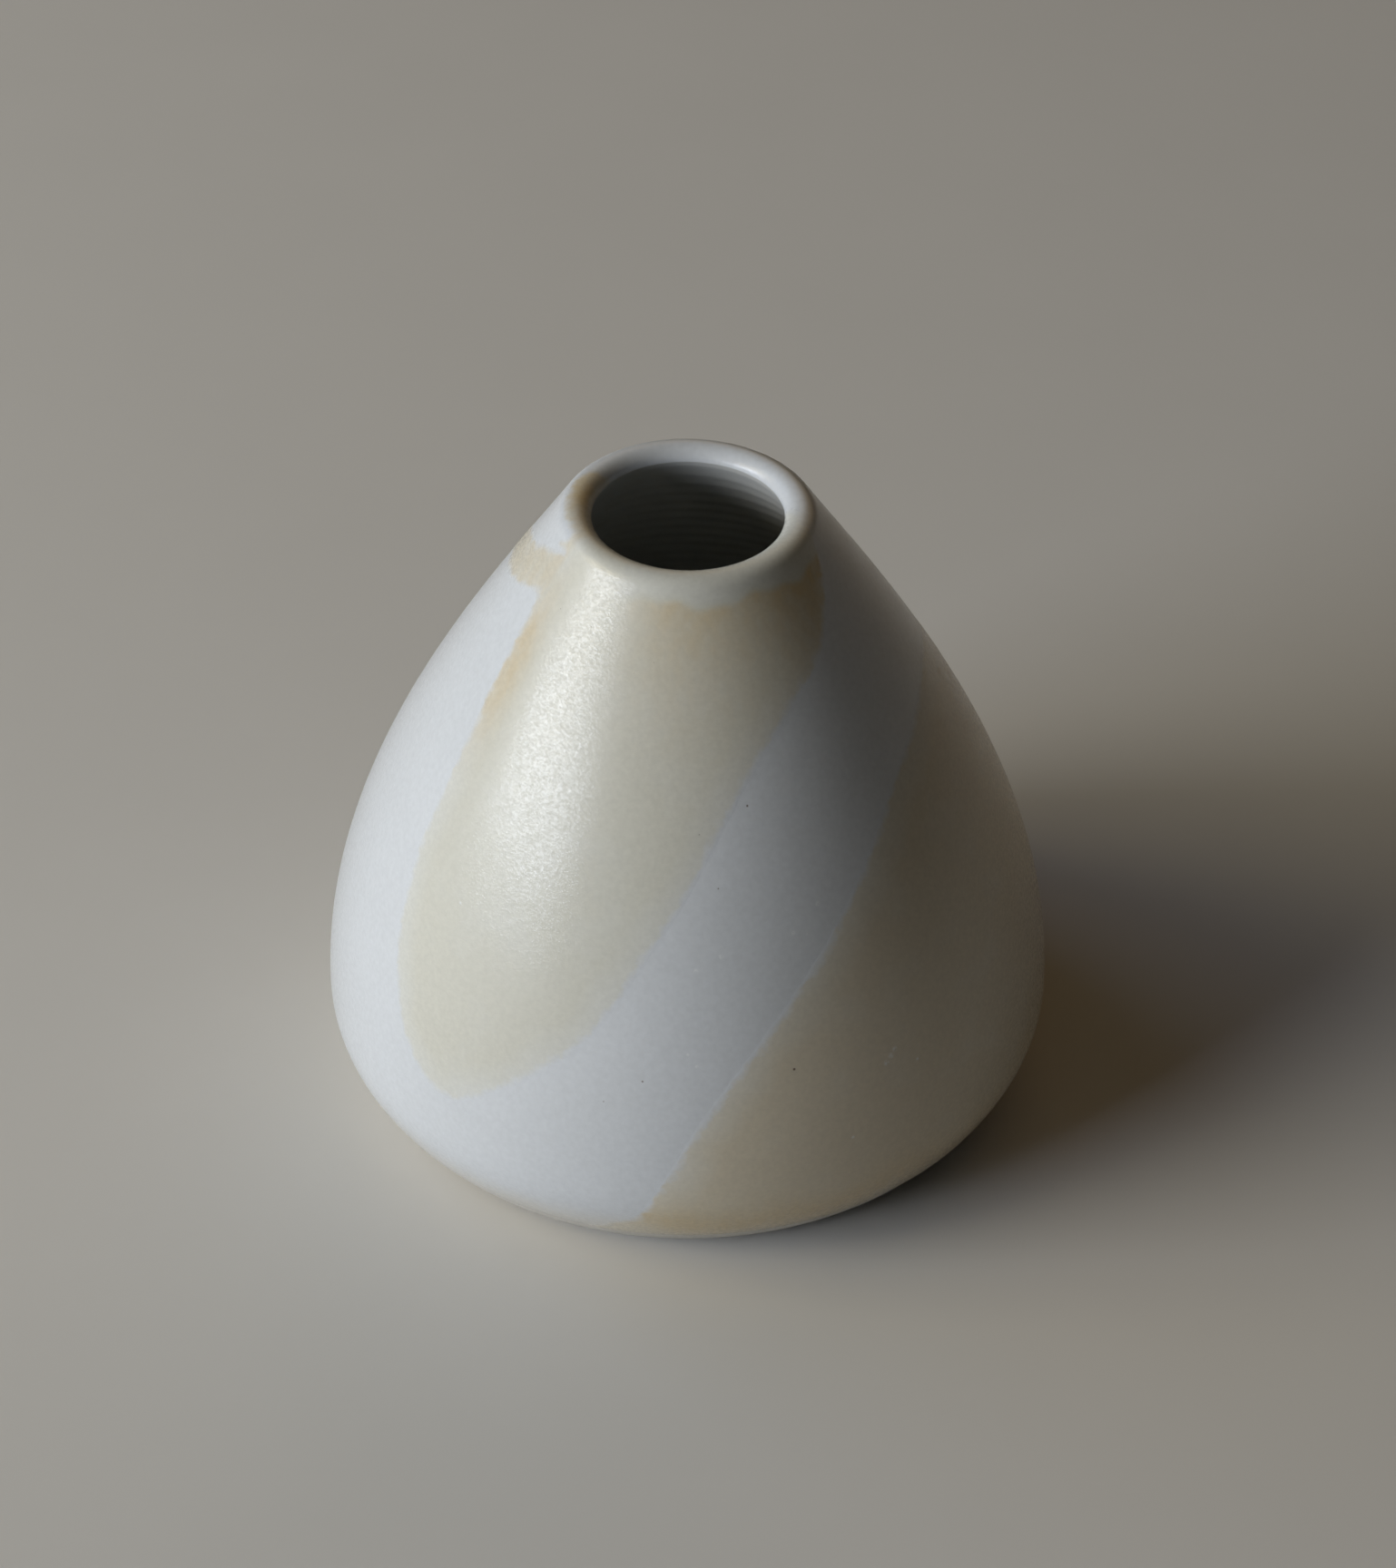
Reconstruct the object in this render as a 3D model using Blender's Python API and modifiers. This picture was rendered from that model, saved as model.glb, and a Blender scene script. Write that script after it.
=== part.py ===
"""Ceramic bud vase: a low cone with a rolled lip, thrown in one piece and glazed.

The clay is a single thrown piece. What can be told apart on it are its layers: the fired clay, the
liner glaze inside, the white glaze outside and over the lip, and two areas of cream glaze that
lie level with the white. Each layer is one object.
Units are metres, +Z is up, and the origin is the middle of the base. The front faces -Y.
"""
import math

import bmesh
import bpy
from mathutils import Matrix, Vector

MM = 0.001

# Driving dimensions
BELLY_RADIUS = 42.0 * MM        # widest radius
BELLY_HEIGHT = 12.0 * MM        # height of the widest place
LIP_TOP = 75.8 * MM             # overall height
LIP_RADIUS = 2.1 * MM           # roundness of the lip's top and outer side
EDGE_RADIUS = 0.9 * MM          # tighter roundness of the lip's inner edge
EDGE_START = math.radians(142.0)        # where the lip turns into that edge, from outwards level
MOUTH_RADIUS = 10.7 * MM        # clear radius at the narrowest place of the mouth
SHOULDER_LEAN = math.radians(33.6)      # the wall's lean from upright where it meets the lip
FOOT_RADIUS = 32.93 * MM        # outer radius of the ring that the vase stands on
FOOT_CORNER = 6.3 * MM          # radius of the rounded corner above the ring
FOOT_LEAN = math.radians(39.0)  # how far the wall leans outwards where the corner ends
WALL = 4.6 * MM                 # wall at the belly, glaze included
FLOOR = 5.0 * MM                # height of the glazed inside floor
INSIDE_FLAT = 26.0 * MM         # radius of the flat part of the inside floor
RECESS_RADIUS = 27.5 * MM       # trimmed hollow under the base
RECESS_DEPTH = 1.0 * MM
GLAZE = 0.5 * MM                # thickness of every glaze coat
GAP = 0.3 * MM                  # clearance between neighbouring layers

# Steepness of the long upper wall: how far its curve follows the tangent at each end
SHOULDER_PULL = 15.4 * MM
BELLY_PULL = 25.2 * MM

# Cream glaze on the right: the vase was tipped and dipped, so its edge is a slanting plane
DIP_TILT = math.radians(54.0)
DIP_TURN = math.radians(8.0)
DIP_HEIGHT = 24.5 * MM          # height of the slanting plane at the vase's axis

# Cream glaze on the front: poured down from the lip, outline seen square on from POUR_TURN
POUR_TURN = math.radians(-15.0)
POUR_OUTLINE = [(-12.5, 70.8), (-20.5, 53.0), (-25.8, 33.0), (-18.2, 18.8), (-5.5, 27.5),
                (5.4, 41.0), (12.5, 57.4), (16.4, 66.5), (15.0, 70.8), (8.0, 71.3), (0.0, 71.4),
                (-7.0, 71.3)]

# Fineness
AROUND = 48
LIP_STEPS = 6
EDGE_STEPS = 2
NECK_STEPS = 2
WALL_STEPS = 9
BELLY_STEPS = 4
CORNER_STEPS = 4


def arc(centre_r, centre_z, radius_r, radius_z, start, end, steps):
    """Points of an elliptic arc in the profile plane, from one angle to another."""
    angles = [start + (end - start) * i / steps for i in range(steps + 1)]
    return [Vector((centre_r + radius_r * math.cos(a), centre_z + radius_z * math.sin(a)))
            for a in angles]


def lip_centre():
    reach = (LIP_RADIUS - EDGE_RADIUS) * math.cos(EDGE_START)
    return MOUTH_RADIUS + EDGE_RADIUS - reach, LIP_TOP - LIP_RADIUS


def edge_arc(start, end, steps):
    """Part of the lip's inner edge, whose arc runs on smoothly from the lip's own."""
    edge_z = LIP_TOP - LIP_RADIUS + (LIP_RADIUS - EDGE_RADIUS) * math.sin(EDGE_START)
    return arc(MOUTH_RADIUS + EDGE_RADIUS, edge_z, EDGE_RADIUS, EDGE_RADIUS, start, end, steps)


def shoulder_curve(steps):
    """The long wall from the lip down to the belly, with the thickness at each point."""
    lip_r, lip_z = lip_centre()
    outward = Vector((math.cos(SHOULDER_LEAN), math.sin(SHOULDER_LEAN)))
    down = Vector((math.sin(SHOULDER_LEAN), -math.cos(SHOULDER_LEAN)))
    top = Vector((lip_r, lip_z)) + LIP_RADIUS * outward
    belly = Vector((BELLY_RADIUS, BELLY_HEIGHT))
    pull_top = top + SHOULDER_PULL * down
    pull_belly = belly + Vector((0.0, BELLY_PULL))
    lip_wall = (LIP_RADIUS + EDGE_RADIUS
                - (LIP_RADIUS - EDGE_RADIUS) * math.cos(EDGE_START - SHOULDER_LEAN))
    points = []
    for i in range(steps + 1):
        t = i / steps
        u = 1.0 - t
        point = u**3 * top + 3 * u * u * t * pull_top + 3 * u * t * t * pull_belly + t**3 * belly
        thickness = u * lip_wall + t * WALL
        points.append((point, thickness))
    return points


def belly_curve(steps):
    """The wall from the belly in to the rounded foot, a curve with one tangent corner."""
    foot = arc(FOOT_RADIUS, FOOT_CORNER, FOOT_CORNER, FOOT_CORNER, -FOOT_LEAN, 0.0, 1)[0]
    corner_z = foot.y + (BELLY_RADIUS - foot.x) / math.tan(FOOT_LEAN)
    belly = Vector((BELLY_RADIUS, BELLY_HEIGHT))
    corner = Vector((BELLY_RADIUS, corner_z))
    points = []
    for i in range(steps + 1):
        t = i / steps
        u = 1.0 - t
        points.append(u * u * belly + 2 * u * t * corner + t * t * foot)
    return points


def normals(points):
    """Unit normals of a profile, pointing to the right of its way down."""
    result = []
    for i in range(len(points)):
        before = points[max(i - 1, 0)]
        after = points[min(i + 1, len(points) - 1)]
        along = (after - before).normalized()
        result.append(Vector((-along.y, along.x)))
    return result


def offset(points, distance):
    return [p + distance * n for p, n in zip(points, normals(points))]


def glazed_outside():
    """Outer surface from the narrowest place of the mouth, over the lip, to the glaze line."""
    edge = edge_arc(math.pi, EDGE_START, EDGE_STEPS)
    lip_r, lip_z = lip_centre()
    lip = arc(lip_r, lip_z, LIP_RADIUS, LIP_RADIUS, EDGE_START, SHOULDER_LEAN, LIP_STEPS)
    wall = [point for point, thickness in shoulder_curve(WALL_STEPS)]
    belly = belly_curve(BELLY_STEPS)[:-1]
    return edge + lip[1:] + wall[1:] + belly[1:]


def glazed_inside(start):
    """Inner surface from the mouth down to the middle of the inside floor."""
    edge = edge_arc(start, math.pi + SHOULDER_LEAN, NECK_STEPS)
    outer = shoulder_curve(WALL_STEPS)
    outward = normals([point for point, thickness in outer])
    wall = [point - thickness * n for (point, thickness), n in zip(outer, outward)]
    wall[-1] = Vector((BELLY_RADIUS - WALL, BELLY_HEIGHT))
    corner = arc(INSIDE_FLAT, BELLY_HEIGHT, BELLY_RADIUS - WALL - INSIDE_FLAT,
                 BELLY_HEIGHT - FLOOR, 0.0, -math.pi / 2, CORNER_STEPS)
    return edge + wall[1:] + corner[1:] + [Vector((0.0, FLOOR))]


def spaced(points, distance):
    """The points, leaving out each one closer than distance to the last one kept."""
    kept = points[:1]
    for point in points[1:]:
        if (point - kept[-1]).length >= distance:
            kept.append(point)
    return kept


def clay_section():
    """Section of the clay from the inside floor, up, over the lip, down and under the foot."""
    inside = spaced(offset(glazed_inside(math.pi), GLAZE + GAP), GAP)
    inside[-1] = Vector((0.0, FLOOR - GLAZE - GAP))
    coat = glazed_outside()
    outside = spaced(offset(coat, -GLAZE - GAP), GAP)
    along = (coat[-1] - coat[-2]).normalized()
    ledge = [outside[-1] + GAP * along, coat[-1] + GAP * along]
    foot = arc(FOOT_RADIUS, FOOT_CORNER, FOOT_CORNER, FOOT_CORNER,
               -FOOT_LEAN, -math.pi / 2, CORNER_STEPS)
    under = [Vector((RECESS_RADIUS, 0.0)),
             Vector((RECESS_RADIUS - RECESS_DEPTH, RECESS_DEPTH)),
             Vector((0.0, RECESS_DEPTH))]
    return inside[::-1] + outside[1:] + ledge + foot + under


def link(obj, collection):
    collection.objects.link(obj)
    return obj


def turned(name, points, collection, material):
    """A profile turned round the axis, open or closed as its points are."""
    mesh = bpy.data.meshes.new(name)
    edges = [(i, i + 1) for i in range(len(points) - 1)]
    mesh.from_pydata([(p.x, 0.0, p.y) for p in points], edges, [])
    mesh.materials.append(material)
    obj = link(bpy.data.objects.new(name, mesh), collection)
    screw = obj.modifiers.new("turn", "SCREW")
    screw.axis = "Z"
    screw.angle = 2.0 * math.pi
    screw.steps = AROUND
    screw.render_steps = AROUND
    screw.use_merge_vertices = True
    screw.merge_threshold = 0.01 * MM
    screw.use_smooth_shade = True
    return obj


def glaze_coat(name, points, inward, collection, material):
    """A turned surface thickened to a glaze coat, to its inner or its outer side."""
    coat = turned(name, points, collection, material)
    solidify = coat.modifiers.new("coat", "SOLIDIFY")
    solidify.thickness = GLAZE
    solidify.offset = -1.0 if inward else 1.0
    solidify.use_even_offset = True
    return coat


def cut(obj, cutter, operation):
    boolean = obj.modifiers.new(cutter.name, "BOOLEAN")
    boolean.operation = operation
    boolean.solver = "EXACT"
    boolean.object = cutter


def hide(obj):
    obj.hide_render = True
    obj.display_type = "WIRE"
    return obj


def dip_cutter(name, lift, collection):
    """A block whose top face is the dip's slanting plane, raised by lift."""
    size = 4.0 * BELLY_RADIUS
    bpy.ops.mesh.primitive_cube_add(size=size)
    block = bpy.context.object
    block.name = name
    for owner in list(block.users_collection):
        owner.objects.unlink(block)
    turn = Matrix.Rotation(DIP_TURN, 4, "Z") @ Matrix.Rotation(-DIP_TILT, 4, "Y")
    up = turn.to_3x3() @ Vector((0.0, 0.0, 1.0))
    block.matrix_world = Matrix.Translation(Vector((0.0, 0.0, DIP_HEIGHT))) @ turn
    block.matrix_world.translation += (lift - size / 2) * up
    return hide(link(block, collection))


def pour_cutter(name, grow, collection):
    """The pour's flat outline, grown all round and drawn through the near half of the vase."""
    curve = bpy.data.curves.new(name, "CURVE")
    curve.dimensions = "2D"
    curve.fill_mode = "BOTH"
    curve.extrude = BELLY_RADIUS
    curve.offset = grow
    curve.resolution_u = 4
    spline = curve.splines.new("BEZIER")
    spline.bezier_points.add(len(POUR_OUTLINE) - 1)
    for point, (across, up) in zip(spline.bezier_points, POUR_OUTLINE):
        point.co = (across * MM, up * MM, 0.0)
        point.handle_left_type = "AUTO"
        point.handle_right_type = "AUTO"
    spline.use_cyclic_u = True
    drawn = link(bpy.data.objects.new(name + "_outline", curve), collection)
    upright = Matrix.Rotation(math.radians(90.0), 4, "X")
    drawn.matrix_world = (Matrix.Rotation(POUR_TURN, 4, "Z")
                          @ Matrix.Translation((0.0, -BELLY_RADIUS, 0.0)) @ upright)
    bpy.context.view_layer.update()
    evaluated = drawn.evaluated_get(bpy.context.evaluated_depsgraph_get())
    mesh = bpy.data.meshes.new_from_object(evaluated)
    welded = bmesh.new()
    welded.from_mesh(mesh)
    bmesh.ops.remove_doubles(welded, verts=welded.verts, dist=0.001 * MM)
    bmesh.ops.recalc_face_normals(welded, faces=welded.faces)
    welded.to_mesh(mesh)
    welded.free()
    cutter = link(bpy.data.objects.new(name, mesh), collection)
    cutter.matrix_world = drawn.matrix_world
    bpy.data.objects.remove(drawn)
    return hide(cutter)


def finish(name, colour, roughness):
    """A Principled material with no metal in it."""
    material = bpy.data.materials.new(name)
    material.use_nodes = True
    shader = material.node_tree.nodes["Principled BSDF"]
    shader.inputs["Base Color"].default_value = (*colour, 1.0)
    shader.inputs["Roughness"].default_value = roughness
    shader.inputs["Metallic"].default_value = 0.0
    return material


def build():
    for obj in list(bpy.data.objects):
        bpy.data.objects.remove(obj)
    vase = bpy.data.collections.new("bud_vase")
    cutters = bpy.data.collections.new("bud_vase_cutters")
    bpy.context.scene.collection.children.link(vase)
    bpy.context.scene.collection.children.link(cutters)

    clay = finish("bare_stoneware", (0.62, 0.58, 0.51), 0.75)
    white = finish("white_satin_glaze", (0.72, 0.74, 0.76), 0.38)
    cream = finish("cream_satin_glaze", (0.66, 0.62, 0.48), 0.36)
    liner = finish("liner_glaze", (0.68, 0.68, 0.66), 0.35)

    turned("clay_body", clay_section(), vase, clay)
    gap_angle = GAP / EDGE_RADIUS
    glaze_coat("liner_glaze", glazed_inside(math.pi + gap_angle), False, vase, liner)
    coat = glazed_outside()
    outer = glaze_coat("white_glaze", coat, True, vase, white)
    cut(outer, pour_cutter("pour_opening", GAP, cutters), "DIFFERENCE")
    cut(outer, dip_cutter("dip_opening", GAP, cutters), "DIFFERENCE")
    front = glaze_coat("cream_glaze_front", coat, True, vase, cream)
    cut(front, pour_cutter("pour_shape", 0.0, cutters), "INTERSECT")
    side = glaze_coat("cream_glaze_side", coat, True, vase, cream)
    cut(side, dip_cutter("dip_shape", 0.0, cutters), "INTERSECT")


build()
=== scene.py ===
import math

import bpy
import numpy as np
from mathutils import Matrix, Vector


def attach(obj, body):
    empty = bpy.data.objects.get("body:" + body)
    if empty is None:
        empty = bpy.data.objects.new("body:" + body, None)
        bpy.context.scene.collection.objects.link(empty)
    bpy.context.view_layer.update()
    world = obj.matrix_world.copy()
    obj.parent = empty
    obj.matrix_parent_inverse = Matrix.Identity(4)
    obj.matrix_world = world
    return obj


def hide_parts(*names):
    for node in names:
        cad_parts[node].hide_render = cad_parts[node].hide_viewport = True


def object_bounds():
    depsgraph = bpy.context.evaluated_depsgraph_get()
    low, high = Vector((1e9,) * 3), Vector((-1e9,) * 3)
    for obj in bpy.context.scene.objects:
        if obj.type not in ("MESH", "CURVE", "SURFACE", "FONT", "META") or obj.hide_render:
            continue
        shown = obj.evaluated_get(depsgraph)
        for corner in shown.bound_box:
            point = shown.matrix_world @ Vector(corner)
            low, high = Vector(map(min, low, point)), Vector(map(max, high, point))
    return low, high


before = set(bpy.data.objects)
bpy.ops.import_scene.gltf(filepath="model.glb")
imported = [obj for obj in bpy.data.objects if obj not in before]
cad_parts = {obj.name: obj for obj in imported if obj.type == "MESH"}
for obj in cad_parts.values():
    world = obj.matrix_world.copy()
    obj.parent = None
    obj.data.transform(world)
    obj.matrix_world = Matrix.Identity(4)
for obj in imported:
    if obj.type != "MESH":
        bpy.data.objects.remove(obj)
cad_low, cad_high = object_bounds()

# ---------------------------------------------------------------------------------------------
# Clay body
# One lump of light stoneware, thrown on the wheel as a closed-in cone with a rolled lip and
# trimmed slightly hollow underneath when leather-hard. It shows bare only at the foot.
MM = 0.001
HEIGHT = cad_high.z - cad_low.z
BELLY_RADIUS = (cad_high.x - cad_low.x) / 2
BELLY_HEIGHT = 12.0 * MM
LIP_RADIUS = 2.1 * MM
EDGE_RADIUS = 0.9 * MM          # the tighter round of the lip's inner edge
EDGE_START = math.radians(142.0)
MOUTH_RADIUS = 10.7 * MM
LIP_TILT = 0.032                # the lip stands a little higher at the back
OVAL = 0.10 * MM                # how far the wall is out of round, in two lobes
THREE_SIDED = 0.05 * MM         # and in three
SHOULDER_LEAN = math.radians(33.6)
FOOT_RADIUS = 32.93 * MM
FOOT_CORNER = 6.3 * MM
FOOT_LEAN = math.radians(39.0)
SHOULDER_PULL = 15.4 * MM
BELLY_PULL = 25.2 * MM
WALL = 4.6 * MM
FLOOR = 5.0 * MM
INSIDE_FLAT = 26.0 * MM
RECESS_RADIUS = 27.5 * MM
RECESS_DEPTH = 1.0 * MM
GLAZE = 0.5 * MM
CLAY_SETBACK = 0.52 * MM        # the clay's skin lies just behind the glaze's back
BARE_SETBACK = 0.08 * MM        # and a touch behind the glaze's face where it is bare
GLAZE_END = 82.9 * MM           # how far down the wall from the mouth the outside glaze stops
BARE_START = GLAZE_END + 0.02 * MM
AROUND = 360                    # faces round the pot


def arc(centre, radius, start, end, steps):
    """An arc of an ellipse in the profile plane, from one angle to another."""
    angles = np.linspace(start, end, steps + 1)
    return np.column_stack([centre[0] + radius[0] * np.cos(angles),
                            centre[1] + radius[1] * np.sin(angles)])


def bezier(controls, steps):
    """A quadratic or cubic Bezier curve through the profile plane."""
    t = np.linspace(0.0, 1.0, steps + 1)[:, None]
    layer = [np.asarray(c, float) for c in controls]
    while len(layer) > 1:
        layer = [(1 - t) * a + t * b for a, b in zip(layer, layer[1:])]
    return layer[0]


def resampled(points, step):
    """The same curve with points a fixed distance apart."""
    along = np.concatenate([[0.0], np.cumsum(np.linalg.norm(np.diff(points, axis=0), axis=1))])
    even = np.linspace(0.0, along[-1], max(2, round(along[-1] / step)) + 1)
    return np.column_stack([np.interp(even, along, points[:, k]) for k in (0, 1)])


def normals(points):
    """Normals that point out of the pot on a profile running down its outer side."""
    run = np.gradient(points, axis=0)
    run /= np.linalg.norm(run, axis=1, keepdims=True)
    return np.column_stack([-run[:, 1], run[:, 0]])


tightening = (LIP_RADIUS - EDGE_RADIUS) * np.array([math.cos(EDGE_START), math.sin(EDGE_START)])
lip_centre = np.array([MOUTH_RADIUS + EDGE_RADIUS - tightening[0], HEIGHT - LIP_RADIUS])
edge_centre = lip_centre + tightening
lip_out = np.array([math.cos(SHOULDER_LEAN), math.sin(SHOULDER_LEAN)])
lip_end = lip_centre + LIP_RADIUS * lip_out
wall_down = np.array([lip_out[1], -lip_out[0]])
belly = np.array([BELLY_RADIUS, BELLY_HEIGHT])
foot_centre = (FOOT_RADIUS, FOOT_CORNER)
foot_top = arc(foot_centre, (FOOT_CORNER, FOOT_CORNER), -FOOT_LEAN, 0.0, 1)[0]
foot_pull = (BELLY_RADIUS, foot_top[1] + (BELLY_RADIUS - foot_top[0]) / math.tan(FOOT_LEAN))
shoulder = bezier([lip_end, lip_end + SHOULDER_PULL * wall_down,
                   belly + [0.0, BELLY_PULL], belly], 200)
outside = resampled(np.vstack([
    arc(edge_centre, (EDGE_RADIUS, EDGE_RADIUS), math.pi, EDGE_START, 20),
    arc(lip_centre, (LIP_RADIUS, LIP_RADIUS), EDGE_START, SHOULDER_LEAN, 50)[1:],
    shoulder[1:],
    bezier([belly, foot_pull, foot_top], 60)[1:],
    arc(foot_centre, (FOOT_CORNER, FOOT_CORNER), -FOOT_LEAN, -math.pi / 2, 60)[1:],
]), 0.1 * MM)
outside_normal = normals(outside)
outside_down = np.concatenate([[0.0], np.cumsum(np.linalg.norm(np.diff(outside, axis=0), axis=1))])


def on_outside(down, lift=0.0):
    """Profile points at given distances down the outside wall, lifted off it by lift."""
    point = [np.interp(down, outside_down, outside[:, k]) for k in (0, 1)]
    out = [np.interp(down, outside_down, outside_normal[:, k]) for k in (0, 1)]
    return np.column_stack([point[0] + lift * out[0], point[1] + lift * out[1]])


lip_wall = LIP_RADIUS + EDGE_RADIUS - float(tightening @ lip_out)
thickness = np.linspace(lip_wall, WALL, len(shoulder))[:, None]
inside = resampled(np.vstack([
    arc(edge_centre, (EDGE_RADIUS, EDGE_RADIUS), math.pi, math.pi + SHOULDER_LEAN, 20),
    (shoulder - thickness * normals(shoulder))[1:-1],
    arc((INSIDE_FLAT, BELLY_HEIGHT), (BELLY_RADIUS - WALL - INSIDE_FLAT, BELLY_HEIGHT - FLOOR),
        0.0, -math.pi / 2, 40),
    [(0.0, FLOOR)],
]), 0.5 * MM)
inside[-1, 0] = 0.0


def placed(points, turn):
    """Profile points turned round to an angle, 0 at the front and growing to the right.

    A hand-thrown wall is never quite round, and its lip never quite level.
    """
    radius, height = points[..., 0], points[..., 1]
    rise = np.clip(height / HEIGHT, 0.0, 1.0)
    uneven = OVAL * rise * np.sin(2 * turn + 0.6) + THREE_SIDED * rise ** 2 * np.sin(3 * turn + 2)
    radius = radius + uneven * np.minimum(radius / MOUTH_RADIUS, 1.0)
    across, away = radius * np.sin(turn), -radius * np.cos(turn)
    tilt = LIP_TILT * away * np.clip(2.5 * rise - 1.5, 0.0, 1.0) ** 2
    return np.stack([across, away, height + tilt], axis=-1)


def finish_mesh(name, verts, faces, material, replaced):
    """Makes the mesh object of one piece, smooth but for its sharp edges, puts it under the root body
    and hides the CAD part it replaces.
    """
    mesh = bpy.data.meshes.new(name)
    mesh.from_pydata(verts, [], faces)
    mesh.validate()
    mesh.shade_smooth()
    mesh.set_sharp_from_angle(angle=math.radians(35))
    mesh.materials.append(material)
    piece = bpy.data.objects.new(name, mesh)
    bpy.context.scene.collection.objects.link(piece)
    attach(piece, "root")
    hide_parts(replaced)
    return piece


def turned(section, closed):
    """Verts and faces of a section turned round the axis; an open one starts and ends on it."""
    turn = np.linspace(0.0, 2 * math.pi, AROUND, endpoint=False)
    rows = section if closed else section[1:-1]
    verts = placed(np.repeat(rows[:, None], AROUND, axis=1), turn[None, :]).reshape(-1, 3)
    count = len(rows)
    faces = []
    for i in range(count if closed else count - 1):
        a, b = i * AROUND, (i + 1) % count * AROUND
        faces += [(a + j, a + (j + 1) % AROUND, b + (j + 1) % AROUND, b + j)
                  for j in range(AROUND)]
    verts = verts.tolist()
    if not closed:
        first, last = len(verts), len(verts) + 1
        verts += [(0.0, 0.0, section[0][1]), (0.0, 0.0, section[-1][1])]
        end = (count - 1) * AROUND
        faces += [(first, (j + 1) % AROUND, j) for j in range(AROUND)]
        faces += [(last, end + j, end + (j + 1) % AROUND) for j in range(AROUND)]
    return verts, [tuple(reversed(f)) for f in faces]


def linear(colour):
    """An sRGB hex colour as the linear RGBA that shaders take."""
    parts = [int(colour[i:i + 2], 16) / 255 for i in (1, 3, 5)]
    return (*[p / 12.92 if p <= 0.04045 else ((p + 0.055) / 1.055) ** 2.4 for p in parts], 1.0)


def add(tree, kind, inputs, **settings):
    """Adds a node with its settings; an input is a value or another node's output."""
    made = tree.nodes.new("ShaderNode" + kind)
    for name, value in settings.items():
        setattr(made, name, value)
    for key, value in inputs.items():
        if isinstance(value, bpy.types.NodeSocket):
            tree.links.new(value, made.inputs[key])
        else:
            made.inputs[key].default_value = value
    return made.outputs


def principled(name, roughness, ior, level=0.5):
    """A material with its tree, its shader (level: how strongly it mirrors) and coordinates."""
    material = bpy.data.materials.new(name)
    material.use_nodes = True
    tree = material.node_tree
    shader = tree.nodes["Principled BSDF"]
    shader.inputs["Roughness"].default_value = roughness
    shader.inputs["IOR"].default_value = ior
    shader.inputs["Metallic"].default_value = 0.0
    shader.inputs["Specular IOR Level"].default_value = level
    where = add(tree, "TexCoord", {})["Object"]
    return material, tree, shader, where


def bare_stoneware():
    """Fired stoneware, unglazed and sponged: matt, off-white, sandy and faintly clouded."""
    material, tree, shader, where = principled("bare_stoneware_sponged", 0.85, 1.5)
    sand = add(tree, "TexNoise", {"Vector": where, "Scale": 1 / (0.5 * MM), "Detail": 4.0})[0]
    patch = add(tree, "TexNoise", {"Vector": where, "Scale": 1 / (9 * MM), "Detail": 2.0})[0]
    tone = add(tree, "Mix", {0: patch, 6: linear("#d5d3ce"), 7: linear("#cbc7be")},
               data_type="RGBA")[2]
    grain = add(tree, "MapRange", {0: sand, 1: 0.35, 2: 0.65, 3: 0.93, 4: 1.04})[0]
    colour = add(tree, "VectorMath", {0: tone, "Scale": grain}, operation="SCALE")[0]
    bump = add(tree, "Bump", {"Height": sand, "Distance": 0.05 * MM, "Strength": 0.6})[0]
    tree.links.new(colour, shader.inputs["Base Color"])
    tree.links.new(bump, shader.inputs["Normal"])
    return material


clay_top = on_outside(np.arange(0.0, GLAZE_END, 0.8 * MM), -CLAY_SETBACK)
clay_ledge = on_outside(np.array([BARE_START]), -CLAY_SETBACK)
clay_foot = on_outside(np.linspace(BARE_START, outside_down[-1], 18), -BARE_SETBACK)
clay_foot[-1] = outside[-1]
recess_edge = [(RECESS_RADIUS, 0.0), (RECESS_RADIUS - 0.35 * MM, 0.10 * MM),
               (RECESS_RADIUS - 0.9 * MM, 0.75 * MM), (RECESS_RADIUS - 1.4 * MM, RECESS_DEPTH)]
recess = np.column_stack([np.linspace(RECESS_RADIUS - 2 * MM, 0.0, 50), np.full(50, RECESS_DEPTH)])
recess[:, 1] += 0.05 * MM * np.sin(recess[:, 0] / (1.1 * MM) * 2 * math.pi)
clay_inside = (inside + CLAY_SETBACK * normals(inside))[1::2]
clay_inside = np.vstack([clay_inside, [(0.0, FLOOR - CLAY_SETBACK)]])
section = np.vstack([clay_inside[::-1], clay_top, clay_ledge, clay_foot, recess_edge, recess])
verts, faces = turned(section, closed=False)
finish_mesh("clay", verts, faces, bare_stoneware(), "clay_body")


# ---------------------------------------------------------------------------------------------
# Liner glaze
# Pale glaze poured in, swirled round and tipped out, so that the pot holds water. It follows
# the finger rings that throwing leaves on the inside wall.
RING_PITCH = 1.9 * MM
RING_DEPTH = 0.04 * MM


def liner_glaze():
    """A pale glossy-satin liner: smoother than the outside, faintly grey."""
    material, tree, shader, where = principled("liner_glaze_satin", 0.34, 1.5)
    cloud = add(tree, "TexNoise", {"Vector": where, "Scale": 1 / (8 * MM), "Detail": 3.0})[0]
    colour = add(tree, "Mix", {0: cloud, 6: linear("#d6d8d6"), 7: linear("#cbcbc5")},
                 data_type="RGBA")[2]
    peel = add(tree, "TexNoise", {"Vector": where, "Scale": 1 / (0.8 * MM), "Detail": 2.0})[0]
    bump = add(tree, "Bump", {"Height": peel, "Distance": 0.02 * MM, "Strength": 0.6})[0]
    tree.links.new(colour, shader.inputs["Base Color"])
    tree.links.new(bump, shader.inputs["Normal"])
    return material


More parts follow.
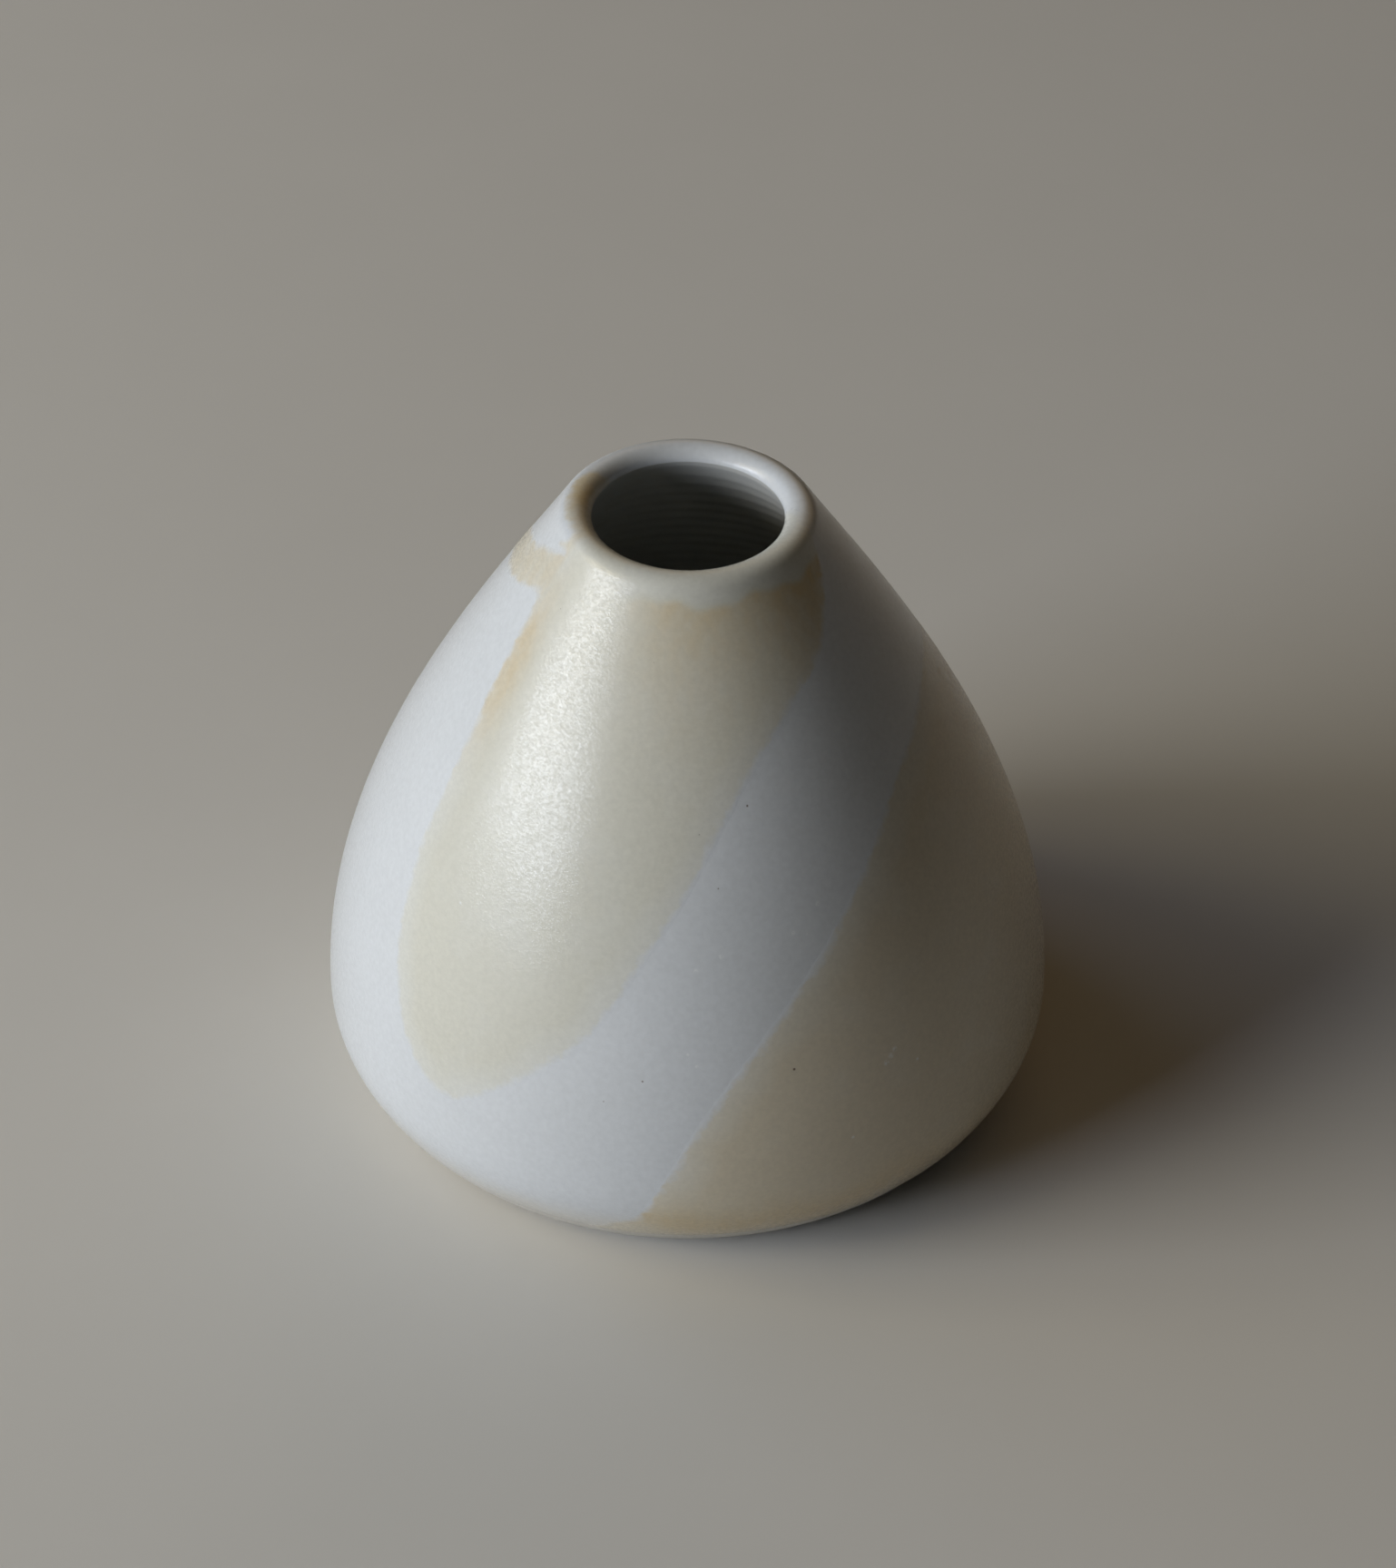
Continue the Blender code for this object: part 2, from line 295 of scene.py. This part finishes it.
ring_fade = np.clip((inside[:, 1] - FLOOR) / (10 * MM), 0.0, 1.0)
ring_fade *= np.clip((HEIGHT - 2.5 * MM - inside[:, 1]) / (2 * MM), 0.0, 1.0)
ring_wave = np.sin(2 * math.pi * inside[:, 1] / RING_PITCH)
liner_air = inside + (RING_DEPTH * ring_fade * ring_wave)[:, None] * normals(inside)
liner_back = inside + GLAZE * normals(inside)
liner_air[-1] = (0.0, FLOOR)
liner_back[-1] = (0.0, FLOOR - GLAZE)
section = np.vstack([liner_air[::-1], liner_back])
verts, faces = turned(section, closed=False)
finish_mesh("liner", verts, faces, liner_glaze(), "liner_glaze")


# ---------------------------------------------------------------------------------------------
# White glaze
# Satin white glaze over the whole outside and the lip, wiped off just above the foot. Its colour
# turns warmer over the lowest few millimetres above the foot.
LIP_ROWS_END = 7.5 * MM         # the rows are closer together over the lip than on the wall
lip_rows = np.linspace(0.0, LIP_ROWS_END, 27)
wall_rows = np.linspace(LIP_ROWS_END, GLAZE_END, 118)
coat_down = np.concatenate([lip_rows, wall_rows[1:]])
coat_turn = np.linspace(-math.pi, math.pi, AROUND, endpoint=False)


def white_tone(tree, where):
    """The white glaze's colour: cool white, clouded, warmer towards the foot."""
    cloud = add(tree, "TexNoise", {"Vector": where, "Scale": 1 / (14 * MM), "Detail": 3.0})[0]
    white = add(tree, "Mix", {0: cloud, 6: linear("#dde1e5"), 7: linear("#d7dbde")},
                data_type="RGBA")[2]
    height = add(tree, "SeparateXYZ", {0: where})[2]
    ragged = add(tree, "TexNoise", {"Vector": where, "Scale": 1 / (4 * MM), "Detail": 3.0})[0]
    shifted = add(tree, "MapRange", {0: ragged, 3: -1.2 * MM, 4: 1.2 * MM})[0]
    level = add(tree, "Math", {0: height, 1: shifted}, operation="ADD")[0]
    # warmer between 10 and 4 mm above the table, by height alone
    thin = add(tree, "MapRange", {0: level, 1: 10.0 * MM, 2: 4.0 * MM, 3: 0.0, 4: 0.75},
               interpolation_type="SMOOTHSTEP")[0]
    return add(tree, "Mix", {0: thin, 6: white, 7: linear("#d8d4ca")}, data_type="RGBA")[2]


def specks(tree, where, spacing, size, share):
    """A mask of small round specks, size across, in a share of the cells spacing apart."""
    cells = add(tree, "TexVoronoi", {"Vector": where, "Scale": 1 / spacing}, feature="F1")
    dot = add(tree, "MapRange", {0: cells["Distance"], 1: size / spacing, 2: 0.4 * size / spacing,
                                 3: 0.0, 4: 1.0})[0]
    chance = add(tree, "SeparateXYZ", {0: cells["Color"]})[0]
    chosen = add(tree, "Math", {0: chance, 1: share}, operation="LESS_THAN")[0]
    return add(tree, "Math", {0: dot, 1: chosen}, operation="MULTIPLY")[0]


# The marks that catch the eye: degrees round, millimetres down the wall, millimetres across.
IRON_SPOTS = [(17, 58.5, 0.42), (13.5, 28.3, 0.32), (2.5, 31, 0.22), (-36, 10.5, 0.22),
              (-11, 12.5, 0.2), (-17, 14, 0.18), (-51.5, 10.5, 0.22), (-7, 59, 0.3),
              (6, 37, 0.24), (-13, 62, 0.22)]
PALE_PIPS = [(25, 40.5, 0.7), (19.5, 43, 0.6), (22, 43.5, 0.35), (6, 44.5, 0.7), (1.5, 46, 0.8),
             (1.5, 57, 0.5), (26, 69, 0.5), (32.8, 61.1, 0.9), (33.8, 60.5, 0.9), (34.6, 59.9, 0.8)]


def spots(tree, where, marks):
    """A mask of round marks that sit on the wall at the listed places."""
    mask = 0.0
    for round_to, down, across in marks:
        place = placed(on_outside(np.array([down * MM])), math.radians(round_to))[0]
        gap = add(tree, "VectorMath", {0: where, 1: tuple(place)}, operation="DISTANCE")["Value"]
        dot = add(tree, "MapRange", {0: gap, 1: across * MM / 2, 2: across * MM / 5,
                                     4: min(across / 0.4, 1.0)})[0]
        mask = add(tree, "Math", {0: mask, 1: dot}, operation="MAXIMUM")[0]
    return mask


def glaze_surface(tree, shader, where, colour, patchy):
    """What all the outside glazes share: iron specks, pale pips and a fine orange-peel skin.

    The eye gets a satin shine with a sparkle in it that comes and goes from grain to grain,
    the more so the higher patchy is.
    """
    iron = specks(tree, where, 6.0 * MM, 0.17 * MM, 0.22)
    iron = add(tree, "Math", {0: iron, 1: spots(tree, where, IRON_SPOTS)}, operation="MAXIMUM")[0]
    pips = specks(tree, where, 5.0 * MM, 0.24 * MM, 0.12)
    crumbly = add(tree, "TexNoise", {"Vector": where, "Scale": 1 / (0.3 * MM), "Detail": 2.0})[0]
    crumbly = add(tree, "MapRange", {0: crumbly, 1: 0.35, 2: 0.55})[0]
    marked = add(tree, "Math", {0: spots(tree, where, PALE_PIPS), 1: crumbly}, operation="MULTIPLY")[0]
    pips = add(tree, "Math", {0: pips, 1: marked}, operation="MAXIMUM")[0]
    colour = add(tree, "Mix", {0: iron, 6: colour, 7: linear("#5f4730")}, data_type="RGBA")[2]
    grain = add(tree, "TexNoise", {"Vector": where, "Scale": 1 / (0.7 * MM), "Detail": 3.0})[0]
    grain = add(tree, "MapRange", {0: grain, 1: 0.3, 2: 0.7, 3: 0.965, 4: 1.03})[0]
    colour = add(tree, "VectorMath", {0: colour, "Scale": grain}, operation="SCALE")[0]
    lighter = add(tree, "Math", {0: pips, 1: 0.65}, operation="MULTIPLY")[0]
    colour = add(tree, "Mix", {0: lighter, 6: colour, 7: linear("#eef1f2")}, data_type="RGBA")[2]
    wiped = add(tree, "VectorMath", {0: where, 1: (1.0, 1.0, 1.7)}, operation="MULTIPLY")[0]
    peel = add(tree, "TexNoise", {"Vector": wiped, "Scale": 1 / (0.5 * MM), "Detail": 3.0,
                                  "Roughness": 0.65})[0]
    skin = add(tree, "MapRange", {0: peel, 1: 0.4, 2: 0.6, 3: 0.5 - patchy, 4: 0.5 + patchy})[0]
    raised = add(tree, "Math", {0: pips, 1: 1.0, 2: peel}, operation="MULTIPLY_ADD")[0]
    bump = add(tree, "Bump", {"Height": raised, "Distance": 0.006 * MM, "Strength": 1.0})[0]
    sparkle = add(tree, "Bump", {"Height": raised, "Distance": 0.05 * MM, "Strength": 1.0})[0]
    uneven = add(tree, "TexNoise", {"Vector": where, "Scale": 1 / (0.6 * MM), "Detail": 1.0})[0]
    rough = add(tree, "MapRange", {0: uneven, 1: 0.3, 2: 0.7, 3: 0.34, 4: 0.46})[0]
    tree.links.new(colour, shader.inputs["Base Color"])
    tree.links.new(rough, shader.inputs["Roughness"])
    tree.links.new(bump, shader.inputs["Normal"])
    tree.links.new(sparkle, shader.inputs["Coat Normal"])
    tree.links.new(skin, shader.inputs["Coat Weight"])
    shader.inputs["Coat Roughness"].default_value = 0.12
    shader.inputs["Coat IOR"].default_value = 1.5


def white_glaze():
    """Satin white stoneware glaze: cool white, softly shining, with an even skin."""
    material, tree, shader, where = principled("white_satin_glaze", 0.4, 1.5, level=0.3)
    glaze_surface(tree, shader, where, white_tone(tree, where), 0.08)
    return material


EDGE_ROUND = 0.5 * MM           # the coat's lower edge rounds off over this
EDGE_DROP = 0.06 * MM           # and sinks by this much
edge_round = np.clip((GLAZE_END - coat_down) / EDGE_ROUND, 0.0, 1.0)
lift = -EDGE_DROP * (1 - np.sqrt(1 - (1 - edge_round) ** 2))
coat_out = on_outside(coat_down) + lift[:, None] * normals(on_outside(coat_down))
coat_back = on_outside(np.arange(GLAZE_END, 0.0, -2.0 * MM), -GLAZE)
coat_back[0] = on_outside(np.array([GLAZE_END]), -GLAZE)[0]
verts, faces = turned(np.vstack([coat_out, coat_back]), closed=True)
finish_mesh("white_coat", verts, faces, white_glaze(), "white_glaze")


# ---------------------------------------------------------------------------------------------
# Cream glaze, front pour
# A second, warmer glaze poured from the lip: one broad lobe slants down the front and an arm
# runs round the left shoulder. It turns honey-coloured where it lies thin over an edge.
CREAM_LIFT = 0.05 * MM          # how much the second glaze stands proud of the white
CREAM_START = 0.006 * MM        # how much of that it has at its very edge
CREAM_EDGE = 1.2 * MM           # over which its edge rises
CREAM_SUNK = 0.02 * MM          # how far its back lies inside the white
LEAST_EDGE = 0.03 * MM          # nearer to the edge than this counts as inside


def smooth_loop(points, steps):
    """A smooth closed curve through the points (degrees round, mm down), steps per point."""
    points = np.asarray(points, float)
    t = np.linspace(0.0, 1.0, steps, endpoint=False)[:, None]
    pieces = []
    for i in range(len(points)):
        a, b, c, d = (points[(i + k) % len(points)] for k in (-1, 0, 1, 2))
        pieces.append(0.5 * (2 * b + (c - a) * t + (2 * a - 5 * b + 4 * c - d) * t ** 2
                             + (3 * b - a - 3 * c + d) * t ** 3))
    return np.vstack(pieces)


def edge_distance(turn, down, outline):
    """Distance in metres from each wall point to an outline, positive inside it."""
    loop = smooth_loop(outline, 16)
    middle = (loop[:, 0].min() + loop[:, 0].max()) / 2
    around = (np.degrees(turn) - middle + 180) % 360 - 180 + middle
    down_mm = down / MM
    within = np.zeros(len(turn), bool)
    for (x0, y0), (x1, y1) in zip(loop, np.roll(loop, -1, axis=0)):
        if y0 != y1:
            cross = (y0 > down_mm) != (y1 > down_mm)
            within ^= cross & (around < x0 + (down_mm - y0) * (x1 - x0) / (y1 - y0))
    flat = on_outside(loop[:, 1] * MM)
    flat[:, 1] += np.maximum(-loop[:, 1], 0.0) * MM
    rim = placed(flat, np.radians(loop[:, 0]))
    here = placed(on_outside(down), turn)
    nearest = np.full(len(turn), 1.0)
    for point in rim:
        nearest = np.minimum(nearest, np.linalg.norm(here - point, axis=1))
    return np.where(within, nearest, -nearest)


def poured_skin(name, edge, marks, material, replaced):
    """A thin coat over the part of the outside where edge is positive, cut off along its zero."""
    rows, columns = edge.shape
    grid_turn, grid_down = np.meshgrid(coat_turn, coat_down)
    edge = np.where(np.abs(edge) < LEAST_EDGE, LEAST_EDGE, edge)
    corners, index, faces, cuts = [], {}, [], {}

    def corner(i, j):
        key = (i, j % columns)
        if key not in index:
            index[key] = len(corners)
            corners.append((key, key, 0.0))
        return index[key]

    def cut(a, b):
        key = (a, b) if a < b else (b, a)
        if key not in cuts:
            share = edge[key[0]] / (edge[key[0]] - edge[key[1]])
            cuts[key] = len(corners)
            corners.append((key[0], key[1], share))
        return cuts[key]

    for i in range(rows - 1):
        for j in range(columns):
            ring = [(i, j), (i, (j + 1) % columns), (i + 1, (j + 1) % columns), (i + 1, j)]
            if max(edge[c] for c in ring) < 0:
                continue
            face = []
            for here, after in zip(ring, ring[1:] + ring[:1]):
                if edge[here] > 0:
                    face.append(corner(*here))
                if (edge[here] > 0) != (edge[after] > 0):
                    face.append(cut(here, after))
            faces.append(tuple(face))
    first = tuple(np.array([c[0] for c in corners]).T)
    second = tuple(np.array([c[1] for c in corners]).T)
    share = np.array([c[2] for c in corners])

    def between(values):
        return values[first] * (1 - share) + values[second] * share

    gap = (grid_turn[second] - grid_turn[first] + math.pi) % (2 * math.pi) - math.pi
    turn = grid_turn[first] + share * gap
    down = between(grid_down)
    rim = np.maximum(between(edge), 0.0)
    rise = CREAM_START + CREAM_LIFT * (1 - np.exp(-rim / CREAM_EDGE))
    foot_room = np.clip((GLAZE_END - down) / (0.6 * MM), 0.0, 1.0)
    top = on_outside(down, rise * foot_room)
    under = on_outside(down, -CREAM_SUNK)
    count = len(corners)
    verts = np.vstack([placed(top, turn), placed(under, turn)])
    sides_of_faces = dict.fromkeys(pair for face in faces
                                   for pair in zip(face, face[1:] + face[:1]))
    sides = [(b, a, a + count, b + count) for a, b in sides_of_faces
             if (b, a) not in sides_of_faces]
    backs = [tuple(v + count for v in reversed(f)) for f in faces]
    faces = [tuple(reversed(f)) for f in faces + backs + sides]
    piece = finish_mesh(name, verts.tolist(), faces, material, replaced)
    for mark, values in {"edge_mm": edge / MM, **marks}.items():
        layer = piece.data.attributes.new(mark, "FLOAT", "POINT")
        layer.data.foreach_set("value", np.tile(between(values), 2).astype(np.float32))
    return piece


def cream_glaze(name, thin, thick, deepening):
    """Satin cream glaze over the white: it fades in from its edge and deepens as it thickens.

    The eye gets a soft-edged warm area whose tint turns to honey where the coat broke and ran;
    on the lip's left that honey tint is also painted shade.
    """
    material, tree, shader, where = principled(name, 0.4, 1.5, level=0.3)
    white = white_tone(tree, where)
    edge = add(tree, "Attribute", {}, attribute_name="edge_mm")["Fac"]
    honey = add(tree, "Attribute", {}, attribute_name="honey")["Fac"]
    pale = add(tree, "Attribute", {}, attribute_name="pale")["Fac"]
    ragged = add(tree, "TexNoise", {"Vector": where, "Scale": 1 / (1.6 * MM), "Detail": 4.0})[0]
    fade = add(tree, "MapRange", {0: ragged, 1: 0.3, 2: 0.7, 3: 0.4, 4: 1.7})[0]
    cover = add(tree, "MapRange", {0: edge, 1: 0.0, 2: fade}, interpolation_type="SMOOTHSTEP")[0]
    shown = add(tree, "Math", {0: 1.0, 1: pale}, operation="SUBTRACT")[0]
    cover = add(tree, "Math", {0: cover, 1: shown}, operation="MULTIPLY")[0]
    cloud = add(tree, "TexNoise", {"Vector": where, "Scale": 1 / (6 * MM), "Detail": 4.0})[0]
    cloud = add(tree, "MapRange", {0: cloud, 1: 0.3, 2: 0.7, 3: -0.25, 4: 0.25})[0]
    depth = add(tree, "MapRange", {0: edge, 1: 0.3, 2: deepening})[0]
    depth = add(tree, "Math", {0: depth, 1: cloud}, operation="ADD", use_clamp=True)[0]
    cream = add(tree, "Mix", {0: depth, 6: linear(thin), 7: linear(thick)}, data_type="RGBA")[2]
    stretched = add(tree, "VectorMath", {0: where, 1: (1.0, 1.0, 0.3)}, operation="MULTIPLY")[0]
    runs = add(tree, "TexNoise", {"Vector": stretched, "Scale": 1 / (1.3 * MM), "Detail": 3.0})[0]
    runs = add(tree, "MapRange", {0: runs, 1: 0.3, 2: 0.7, 3: 0.7, 4: 1.15})[0]
    honey = add(tree, "Math", {0: honey, 1: runs}, operation="MULTIPLY", use_clamp=True)[0]
    # the honey tint; on the lip's left it is partly painted shade
    cream = add(tree, "Mix", {0: honey, 6: cream, 7: linear("#d3c09a")}, data_type="RGBA")[2]
    colour = add(tree, "Mix", {0: cover, 6: white, 7: cream}, data_type="RGBA")[2]
    glaze_surface(tree, shader, where, colour, 0.3)
    return material


def bell(values, middle, width):
    """A soft hump, one high, round a middle value."""
    return np.exp(-((values - middle) / width) ** 2)


# Outlines on the wall: degrees round, millimetres down from the mouth.
LOBE = [(-66, -4), (-66.5, 6), (-65, 13), (-62.5, 22), (-60.8, 33), (-60, 44), (-57, 55),
        (-50, 64.6), (-41, 68.4), (-31, 64.6), (-17, 55.6), (-8, 46), (0.5, 37.5), (9, 29.5),
        (20.5, 22.7), (33, 18.2), (46, 15), (57, 11), (68, 7), (75, 3), (78, -4)]
ARM = [(-50, 6), (-60, 4.4), (-67, 5.4), (-73, 6.2), (-81, 7.2), (-90, 8.7), (-100, 9.8),
       (-114, 12.4), (-126, 16.5), (-134, 21.5), (-135, 25.5), (-129, 26), (-119, 20.5),
       (-110, 16.6), (-95, 15), (-80, 13.2), (-68, 11.6), (-62, 12.6), (-50, 14)]
LIP_BAND = [(-127, -4), (-126, 1.5), (-118, 3.4), (-90, 3.9), (-70, 4), (-62, 6), (71, 4), (78, -4)]
grid_turn, grid_down = (g.ravel() for g in np.meshgrid(coat_turn, coat_down))
front_edge = np.max([edge_distance(grid_turn, grid_down, part)
                     for part in (LOBE, ARM, LIP_BAND)], axis=0)
degrees, millimetres = np.degrees(grid_turn), grid_down / MM
# The cream fires to honey where it lies thin: below a ragged line under the lip, down the
# lobe's left side and faintly along the arm. On the lip's left the honey tint is partly real and
# partly painted warm shade, where the lip faces away from the window. On the lip's round it is paler.
honey_line = 5.9 + 0.4 * np.sin(np.radians(degrees * 9)) + 0.2 * np.sin(np.radians(degrees * 23))
past_line = millimetres - honey_line
below_lip = np.clip(past_line / 0.7, 0, 1) * np.exp(-np.maximum(past_line, 0) / 9.5)
below_lip *= np.clip((degrees + 30) / 25, 0, 1) * (0.75 + 0.35 * bell(degrees, 52, 18))
left_side = bell(degrees, -59, 5.5) * bell(millimetres, 19, 9)
# honey on the lip's left, partly painted warm shade on the side that faces away from the window
lip_honey_and_painted_shade = bell(degrees, -104, 20) * bell(millimetres, 2.2, 2.0)
arm_tint = 0.35 * np.clip((-60 - degrees) / 4, 0, 1)
honey = np.maximum.reduce([0.95 * below_lip, 0.75 * left_side, 0.9 * lip_honey_and_painted_shade, arm_tint])
front_of_lip = np.clip((degrees + 34) / 6, 0, 1)
pale = 0.15 * front_of_lip * np.clip(-past_line / 0.6, 0, 1)
shape = (len(coat_down), len(coat_turn))
poured_skin("cream_pour", front_edge.reshape(shape),
            {"honey": honey.reshape(shape), "pale": pale.reshape(shape)},
            cream_glaze("cream_satin_glaze_front", "#dadbd5", "#d5d4c8", 4.0),
            "cream_glaze_front")


# ---------------------------------------------------------------------------------------------
# Cream glaze, right side
# The same cream glaze where the pot was tipped and dipped: its upper edge slants up the front
# to the right shoulder and down again behind. It gathers in a honey-coloured band at the foot.
DIP = [(-13, 80.5), (-8, 77.5), (-3, 71), (2, 64), (12, 54.5), (24, 46), (38, 37.3), (50, 31.7),
       (63, 28.5), (76, 26.5), (90, 26), (105, 28), (120, 32.5), (135, 39), (150, 47),
       (163, 56), (174, 65), (183, 74), (190, 81), (189, 84.5), (90, 90), (-8, 84.5)]
side_edge = edge_distance(grid_turn, grid_down, DIP)
foot_line = 78.6 + 0.8 * np.sin(np.radians(degrees * 7)) + 0.6 * np.sin(np.radians(degrees * 17 + 40))
side_honey = 0.7 * bell(millimetres, foot_line, 2.8) * np.clip(1.3 - np.abs(degrees - 5) / 60, 0.35, 1)
poured_skin("cream_dip", side_edge.reshape(shape),
            {"honey": side_honey.reshape(shape), "pale": np.zeros(shape)},
            cream_glaze("cream_satin_glaze_side", "#d8d4c7", "#d5cbb5", 5.0), "cream_glaze_side")


# ---------------------------------------------------------------------------------------------
# Studio
# A plain pale table top. The daylight comes from one big window low on the left, cooler from
# farther round, and a dim warm room fills in from above and behind.
def table_top():
    """Matt pale board."""
    material, tree, shader, where = principled("matt_pale_board", 0.9, 1.45)
    grain = add(tree, "TexNoise", {"Vector": where, "Scale": 1 / (30 * MM), "Detail": 3.0})[0]
    colour = add(tree, "Mix", {0: grain, 6: linear("#e0ded9"), 7: linear("#dcdad5")},
                 data_type="RGBA")[2]
    tree.links.new(colour, shader.inputs["Base Color"])
    return material


floor_mesh = bpy.data.meshes.new("table_top")
reach = 3.0
floor_mesh.from_pydata([(-reach, -reach, 0), (reach, -reach, 0), (reach, reach, 0),
                        (-reach, reach, 0)], [], [(0, 1, 2, 3)])
floor_mesh.materials.append(table_top())
floor = bpy.data.objects.new("table_top", floor_mesh)
bpy.context.scene.collection.objects.link(floor)


def facing(position, target):
    """The matrix of a light or camera at position that looks at target."""
    turn = (Vector(target) - Vector(position)).to_track_quat("-Z", "Y")
    return Matrix.Translation(position) @ turn.to_matrix().to_4x4()


def from_vase(azimuth, elevation, distance, target):
    """A place at a distance from target, in degrees round it (0 in front, right is more)."""
    a, e = math.radians(azimuth), math.radians(elevation)
    return Vector(target) + distance * Vector((math.cos(e) * math.sin(a),
                                               -math.cos(e) * math.cos(a), math.sin(e)))


middle = Vector((0.0, 0.0, HEIGHT / 2))


def soft_light(name, place, size, energy, colour):
    """An area light (width and height in metres) at an azimuth, elevation and distance."""
    light = bpy.data.lights.new(name, "AREA")
    light.shape = "RECTANGLE"
    light.size, light.size_y = size
    light.energy = energy
    light.color = colour
    light_object = bpy.data.objects.new(name, light)
    light_object.matrix_world = facing(from_vase(*place, middle), middle)
    bpy.context.scene.collection.objects.link(light_object)


soft_light("window", (-66, 17.2, 1.4), (0.92, 0.43), 13.6, (0.83, 0.885, 0.985))
soft_light("window_head", (-82, 34, 1.4), (0.9, 0.5), 5.4, (1.0, 0.88, 0.62))
soft_light("window_back", (-120, 35, 2.0), (1.2, 1.0), 3.4, (0.55, 0.72, 1.0))
soft_light("room_above", (-10, 75, 2.5), (2.0, 2.0), 0.8, (1.0, 0.88, 0.66))
soft_light("room_behind", (160, 31, 2.5), (2.0, 1.5), 3.9, (1.0, 0.645, 0.28))

world = bpy.data.worlds.new("room")
world.use_nodes = True
world.node_tree.nodes["Background"].inputs["Color"].default_value = (1.0, 0.95, 0.89, 1.0)
world.node_tree.nodes["Background"].inputs["Strength"].default_value = 0.01
bpy.context.scene.world = world
bpy.context.scene.view_settings.view_transform = "Standard"

# The camera looks down from in front, as someone standing at the table does.
camera = bpy.data.cameras.new("camera")
camera.lens = 100.0
camera.sensor_width = 36.0
aim = Vector((1.2 * MM, 0.0, 37.9 * MM))
camera_object = bpy.data.objects.new("camera", camera)
camera_object.matrix_world = (facing(from_vase(-0.18, 36.85, 498.9 * MM, aim), aim)
                              @ Matrix.Rotation(0.0029, 4, "Z"))
bpy.context.scene.collection.objects.link(camera_object)
bpy.context.scene.camera = camera_object
